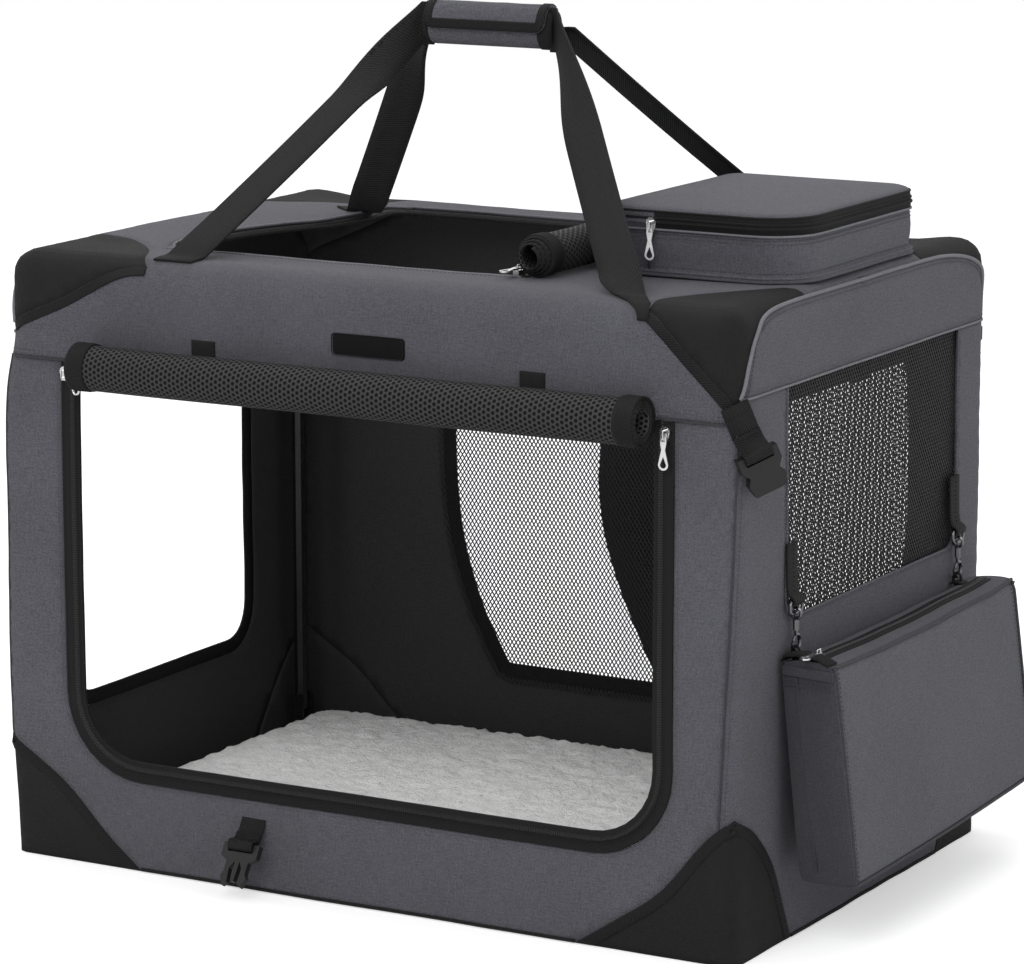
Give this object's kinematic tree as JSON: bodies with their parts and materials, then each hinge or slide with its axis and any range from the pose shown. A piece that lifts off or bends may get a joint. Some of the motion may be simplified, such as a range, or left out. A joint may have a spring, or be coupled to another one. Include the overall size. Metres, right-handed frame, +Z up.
{
  "type": "folding dog crate",
  "caption": "Folding fabric dog crate on hinged steel tube frames, with rolled-up net doors, a net window, roof pocket, carrying handle, side bag and fleece mat.",
  "frame": {"origin": "on the ground, under the middle of the crate's floor", "axes": "+X to the right of the front door, +Y from the front door to the back wall, +Z up"},
  "size_m": [0.8197, 0.5488, 0.7432],
  "materials": {
    "grey_cloth": "woven polyester, matt",
    "black_cloth": "woven polyester, matt",
    "black_net": "knitted net, matt",
    "black_webbing": "woven webbing, matt",
    "black_plastic": "moulded, satin",
    "white_fleece": "long soft pile",
    "coated_steel": "powder coated, satin",
    "bright_metal": "nickel plated, glossy"
  },
  "bodies": {
    "base": {"front_wall": "grey_cloth", "back_wall": "grey_cloth", "left_wall": "grey_cloth", "right_wall": "grey_cloth", "bottom_front_left_patch": "black_cloth", "bottom_front_right_patch": "black_cloth", "bottom_back_left_patch": "black_cloth", "bottom_back_right_patch": "black_cloth", "floor_panel": "black_cloth", "fleece_mat": "white_fleece", "bottom_ring": "coated_steel", "right_window_net": "black_net", "back_window_net": "black_net", "front_door_zip": "black_cloth", "front_hang_strap": "black_webbing", "back_hang_strap": "black_webbing"},
    "left_frame": {"left_end_frame": "coated_steel"},
    "right_frame": {"right_end_frame": "coated_steel"},
    "roof": {"top_ring": "coated_steel", "roof_panel": "grey_cloth", "left_header": "grey_cloth", "right_header": "grey_cloth", "top_front_left_patch": "black_cloth", "top_front_right_patch": "black_cloth", "top_back_left_patch": "black_cloth", "top_back_right_patch": "black_cloth", "left_clip": "black_plastic", "right_clip": "black_plastic", "front_door_roll": "black_net", "left_door_roll": "black_net", "top_door_roll": "black_net", "top_door_zip": "black_cloth", "pocket_body": "grey_cloth", "front_left_leg": "black_webbing", "front_right_leg": "black_webbing", "back_left_leg": "black_webbing", "back_right_leg": "black_webbing"},
    "left_door_slider": {"front_left_slider": "bright_metal"},
    "right_door_slider": {"front_right_slider": "bright_metal"},
    "right_door_pull": {"front_right_pull": "bright_metal"},
    "roof_slider": {"top_slider": "bright_metal"},
    "roof_pull": {"top_pull": "bright_metal"},
    "pocket_zip_slider": {"pocket_slider": "bright_metal"},
    "pocket_zip_pull": {"pocket_pull": "bright_metal"},
    "lid": {"pocket_lid": "grey_cloth"},
    "handle": {"handle_grip": "black_webbing"},
    "flap": {"grip_flap": "grey_cloth"},
    "front_buckle": {"front_strap": "black_webbing", "front_male_buckle": "black_plastic"},
    "side_buckle": {"side_strap": "black_webbing", "side_female_buckle": "black_plastic"},
    "back_buckle": {"back_strap": "black_webbing", "back_female_buckle": "black_plastic"},
    "side_bag": {"bag_body": "grey_cloth", "front_snap_hook": "bright_metal", "back_snap_hook": "bright_metal"},
    "bag_zip_slider": {"bag_slider": "bright_metal"},
    "bag_zip_pull": {"bag_pull": "bright_metal"},
    "front_gate": {"front_hook_gate": "bright_metal"},
    "back_gate": {"back_hook_gate": "bright_metal"}
  },
  "joints": [
    {"name": "left_frame_fold", "type": "hinge", "parent": "base", "child": "left_frame", "pos_m": [-0.3372, 0, 0.045], "axis": [0, 1, 0], "range_deg": [0, 90], "deforming": ["front_wall", "back_wall", "left_wall", "right_wall", "bottom_front_left_patch", "bottom_front_right_patch", "bottom_back_left_patch", "bottom_back_right_patch", "right_window_net", "back_window_net", "front_door_zip", "left_clip", "right_clip", "front_strap", "side_strap", "back_strap"]},
    {"name": "right_frame_fold", "type": "hinge", "parent": "base", "child": "right_frame", "pos_m": [0.3372, 0, 0.085], "axis": [0, 1, 0], "range_deg": [-90, 0]},
    {"name": "roof_drop", "type": "slide", "parent": "base", "child": "roof", "axis": [0, 0, -1], "range_m": [0, 0.361]},
    {"name": "left_door_slider_travel", "type": "slide", "parent": "roof", "child": "left_door_slider", "axis": [0, 0, 1], "range_m": [-0.24, 0]},
    {"name": "right_door_slider_travel", "type": "slide", "parent": "roof", "child": "right_door_slider", "axis": [0, 0, 1], "range_m": [-0.24, 0]},
    {"name": "right_door_pull_swing", "type": "hinge", "parent": "right_door_slider", "child": "right_door_pull", "pos_m": [0.2865, -0.25085, 0.4325], "axis": [-1, 0, 0], "range_deg": [0, 150]},
    {"name": "roof_slider_travel", "type": "slide", "parent": "roof", "child": "roof_slider", "axis": [1, 0, 0], "range_m": [-0.3, 0]},
    {"name": "roof_pull_swing", "type": "hinge", "parent": "roof_slider", "child": "roof_pull", "pos_m": [0.1073, -0.1655, 0.54185], "axis": [-1, 0, 0], "range_deg": [0, 150]},
    {"name": "pocket_slider_travel", "type": "slide", "parent": "roof", "child": "pocket_zip_slider", "axis": [1, 0, 0], "range_m": [0, 0.1]},
    {"name": "pocket_pull_swing", "type": "hinge", "parent": "pocket_zip_slider", "child": "pocket_zip_pull", "pos_m": [0.205, -0.12135, 0.5783], "axis": [-1, 0, 0], "range_deg": [0, 120]},
    {"name": "pocket_lid_hinge", "type": "hinge", "parent": "roof", "child": "lid", "pos_m": [0.157, 0, 0.5783], "axis": [0, -1, 0], "range_deg": [0, 90]},
    {"name": "handle_drop", "type": "slide", "parent": "roof", "child": "handle", "axis": [0, 0, 1], "range_m": [-0.14, 0], "deforming": ["front_left_leg", "front_right_leg", "back_left_leg", "back_right_leg"]},
    {"name": "grip_flap_hinge", "type": "hinge", "parent": "handle", "child": "flap", "pos_m": [-0.005, -0.00885, 0.73758], "axis": [-1, 0, 0], "range_deg": [0, 85]},
    {"name": "front_buckle_swing", "type": "hinge", "parent": "base", "child": "front_buckle", "pos_m": [-0.108, -0.2443, 0.06], "axis": [1, 0, 0], "range_deg": [-110, 0]},
    {"name": "side_buckle_swing", "type": "hinge", "parent": "roof", "child": "side_buckle", "pos_m": [0.34474, -0.23874, 0.454], "axis": [0.6509, 0.6509, 0.3907], "range_deg": [-120, 0]},
    {"name": "back_buckle_swing", "type": "hinge", "parent": "roof", "child": "back_buckle", "pos_m": [0.32, 0.2443, 0.468], "axis": [-1, 0, 0], "range_deg": [-120, 0]},
    {"name": "bag_swing", "type": "hinge", "parent": "base", "child": "side_bag", "pos_m": [0.3567, 0, 0.276], "axis": [0, 1, 0], "range_deg": [-60, 0]},
    {"name": "bag_slider_travel", "type": "slide", "parent": "side_bag", "child": "bag_zip_slider", "axis": [0, 1, 0], "range_m": [0, 0.28]},
    {"name": "bag_pull_swing", "type": "hinge", "parent": "bag_zip_slider", "child": "bag_zip_pull", "pos_m": [0.3785, -0.155, 0.24635], "axis": [-1, 0, 0], "range_deg": [0, 120]},
    {"name": "front_gate_swing", "type": "hinge", "parent": "side_bag", "child": "front_gate", "pos_m": [0.3567, -0.15792, 0.25366], "axis": [1, 0, 0], "range_deg": [-25, 0], "stiffness_Nm_per_rad": 0.002},
    {"name": "back_gate_swing", "type": "hinge", "parent": "side_bag", "child": "back_gate", "pos_m": [0.3567, 0.16208, 0.25366], "axis": [1, 0, 0], "range_deg": [-25, 0], "stiffness_Nm_per_rad": 0.002}
  ],
  "couplings": [
    {"joint": "right_frame_fold", "follows": "left_frame_fold", "ratio": -1},
    {"joint": "roof_drop", "follows": "left_frame_fold", "m_per_rad": 0.22918}
  ]
}
